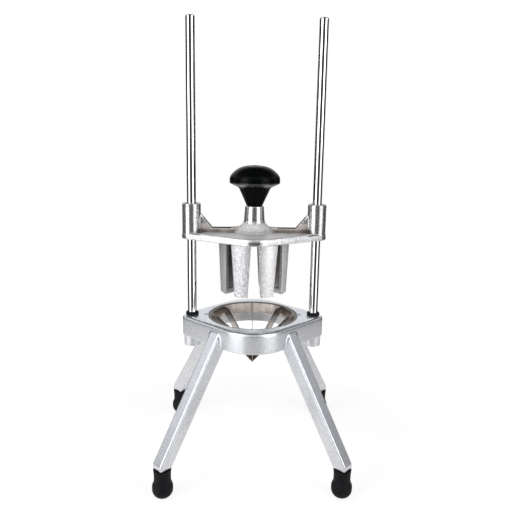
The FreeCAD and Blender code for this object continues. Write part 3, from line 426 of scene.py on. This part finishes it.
def turnedBrass():
    skin = Skin("turnedBrass", brass["dark"])
    rings = skin.graph.noise(skin.graph.stretched(brass["rings"]), 1.0)
    skin.paint(rings, brass["light"])
    rough = brass["rough"] + rings * brass["ringRough"]
    return skin.finish(Metallic=1.0, Roughness=rough, Normal=skin.graph.bump(rings, brass["ringDepth"]))


headSkin = castHead()
rubberSkin = blackRubber()
dressing = {"cast_aluminium": castBase(), "rod_steel": groundChrome(), "blade_steel": bladeSteel(),
            "ring_steel": ringSteel(), "screw_steel": screwSteel(), "brass_parts": turnedBrass(),
            "foot_rubber": rubberSkin, "bumper_rubber": rubberSkin, "knob_plastic": knobPlastic()}
print("materials made")

for part in frame["record"]["subparts"]:
    mesh = nodes[part["node"]].data
    mesh.materials.clear()
    onHead = part["node"] == "crosshead_casting"
    mesh.materials.append(headSkin if onHead else dressing[part["material_slot"]])
print("nodes dressed")


# Floor: pale, fading into the white background. Metal sees it darker in front and warm.
floor = {"radius": 0.55, "corners": 96, "paint": 0.86, "glow": 1.2, "keepShadow": 0.3,
         "shadowEnds": (0.2, 0.42), "leftToRight": (-0.2, 0.2), "mirrorLeft": 0.92, "mirrorRight": 0.73,
         "frontSector": (0.7, 0.95), "frontStarts": (0.15, 0.3), "mirrorFront": 0.62,
         "farStarts": (0.44, 0.52), "mirrorFar": 1.05, "mirrorTint": (1.0, 0.955, 0.905, 1), "mirrored": 0.9}


def buildFloor():
    corners = [math.tau * step / floor["corners"] for step in range(floor["corners"])]
    rim = [(floor["radius"] * math.cos(turn), floor["radius"] * math.sin(turn), 0) for turn in corners]
    mesh = bpy.data.meshes.new("floor")
    mesh.from_pydata(rim, [], [tuple(range(len(rim)))])
    disc = bpy.data.objects.new("floor", mesh)
    scene.collection.objects.link(disc)
    material, graph = newMaterial("paleFloor")
    mesh.materials.append(material)
    place = graph.place()
    across, depth = graph.split(place)[:2]
    away = graph.add("ShaderNodeVectorMath", {"operation": "LENGTH"}, {0: place}, out="Value")
    front = (0 - depth / (away + 0.001)).rise(floor["frontSector"]) * away.rise(floor["frontStarts"])
    farther = away.rise(floor["farStarts"])
    ahead = floor["mirrorFront"] * (1 - farther) + floor["mirrorFar"] * farther
    aside = across.rise(floor["leftToRight"]) * (floor["mirrorLeft"] - floor["mirrorRight"])
    mirrored = (floor["mirrorLeft"] - aside) * (1 - front) + ahead * front
    matt = graph.add("ShaderNodeBsdfDiffuse", {}, {"Color": grey(floor["paint"])})
    glow = graph.add("ShaderNodeEmission", {}, {"Color": grey(1.0), "Strength": floor["glow"]})
    sheen = graph.add("ShaderNodeEmission", {}, {"Color": floor["mirrorTint"], "Strength": mirrored})
    seen = graph.add("ShaderNodeLightPath", out="Is Camera Ray")
    glossy = graph.add("ShaderNodeLightPath", out="Is Glossy Ray")
    shown = seen * (1 - floor["keepShadow"] * away.fall(floor["shadowEnds"]))
    shader = graph.add("ShaderNodeMixShader", {}, {0: shown, 1: matt, 2: glow})
    shader = graph.add("ShaderNodeMixShader", {}, {0: glossy * floor["mirrored"], 1: shader, 2: sheen})
    graph.add("ShaderNodeOutputMaterial", {}, {"Surface": shader})


# Room: white walls beside the camera and white above, dark at eye level elsewhere, with a dark ceiling.
# Sectors are spans of the direction's share towards the front, levels are spans of its share upwards.
room = {"left": 2.0, "right": 1.5, "leftToRight": (-0.2, 0.2), "dark": 0.045, "back": 0.16, "under": 0.2,
        "wallStarts": (0.3, 0.42), "wallEnds": (0.84, 0.89), "backSector": (-0.9, -0.75),
        "underLevel": (0.3, 0.36), "upper": 1.05, "upperFloor": 0.7, "upperTone": 0.15,
        "upperLevel": (0.18, 0.34), "behindSector": (-0.92, -0.8), "behindLevel": (0.03, 0.14),
        "besideSector": (0.2, 0.5), "sideUpper": 0.85, "rightUpper": 0.4, "frontSector": (0.75, 1.0),
        "frontUpper": 0.45, "ceiling": 0.05, "ceilingLevel": (0.82, 0.94), "rearCeilingLevel": (0.5, 0.68),
        "rearCeilingStarts": (-0.15, 0.05), "warm": (1.0, 0.89, 0.82, 1), "warmTones": (0.0, 0.5)}


def buildWorld():
    world = bpy.data.worlds.new("studio")
    world.use_nodes = True
    scene.world = world
    graph = Graph(world.node_tree)
    across, depth, height = graph.split(graph.add("ShaderNodeTexCoord", out="Generated"))
    flat = (across * across + depth * depth + 0.0001) ** 0.5
    toFront = 0 - depth / flat
    toRight = across.rise(room["leftToRight"])
    tone = room["left"] - toRight * (room["left"] - room["right"])
    walls = toFront.rise(room["wallStarts"]) * toFront.fall(room["wallEnds"])
    back = toFront.fall(room["backSector"]) * room["back"]
    low = room["dark"] + walls * tone + back + (0 - height).rise(room["underLevel"]) * room["under"]
    behind = toFront.fall(room["behindSector"])
    beside = toFront.fall(room["besideSector"]) * (1 - behind)
    upper = room["upper"] * (room["upperFloor"] + tone * room["upperTone"])
    upper = upper * (1 - toFront.rise(room["frontSector"]) * room["frontUpper"])
    upper = upper * (1 - beside * (1 - room["sideUpper"] + toRight * room["rightUpper"]))
    high = height.rise(room["upperLevel"]) * (1 - behind) + height.rise(room["behindLevel"]) * behind
    # the dark ceiling comes down lower behind than in front
    ceiling = height.rise(room["rearCeilingLevel"]) * depth.rise(room["rearCeilingStarts"])
    ceiling = ceiling.atLeast(height.rise(room["ceilingLevel"]))
    level = low * (1 - high) + upper * high
    level = level * (1 - ceiling) + room["ceiling"] * ceiling
    seen = graph.add("ShaderNodeLightPath", out="Is Camera Ray")
    level = seen + level * (1 - seen)
    colour = graph.blendColours(level.rise(room["warmTones"]), room["warm"], grey(1.0))
    shader = graph.add("ShaderNodeBackground", {}, {"Color": colour, "Strength": level})
    graph.add("ShaderNodeOutputWorld", {}, {"Surface": shader})


softboxes = {"aim": (0, 0, 0.24), "size": (0.7, 1.2), "boxes": [
    {"name": "softboxLeft", "at": (-1.1, -0.95, 0.85), "tone": 3.0},
    {"name": "softboxRight", "at": (1.1, -0.95, 0.85), "tone": 2.1},
]}


def buildLights():
    for box in softboxes["boxes"]:
        light = bpy.data.lights.new(box["name"], "AREA")
        light.shape = "RECTANGLE"
        light.size, light.size_y = softboxes["size"]
        light.energy = box["tone"] * math.pi * light.size * light.size_y
        lamp = bpy.data.objects.new(box["name"], light)
        scene.collection.objects.link(lamp)
        lamp.location = box["at"]
        lamp.rotation_euler = (Vector(softboxes["aim"]) - lamp.location).to_track_quat("-Z", "Y").to_euler()
        lamp.visible_camera = False


view = {"at": (-0.01538, -0.63923, 0.38035), "yaw": 1.607, "down": 12.318, "roll": 0.914,
        "lens": 40.55, "sensor": 36}


def buildCamera():
    data = bpy.data.cameras.new("camera")
    data.sensor_width = view["sensor"]
    data.lens = view["lens"]
    camera = bpy.data.objects.new("camera", data)
    scene.collection.objects.link(camera)
    turn = Matrix.Rotation(math.radians(-view["yaw"]), 4, "Z")
    tilt = Matrix.Rotation(math.radians(90 - view["down"]), 4, "X")
    roll = Matrix.Rotation(math.radians(view["roll"]), 4, "Z")
    camera.matrix_world = Matrix.Translation(view["at"]) @ turn @ tilt @ roll
    scene.camera = camera


buildFloor()
buildWorld()
buildLights()
buildCamera()
scene.view_settings.view_transform = "Standard"
print("studio built")
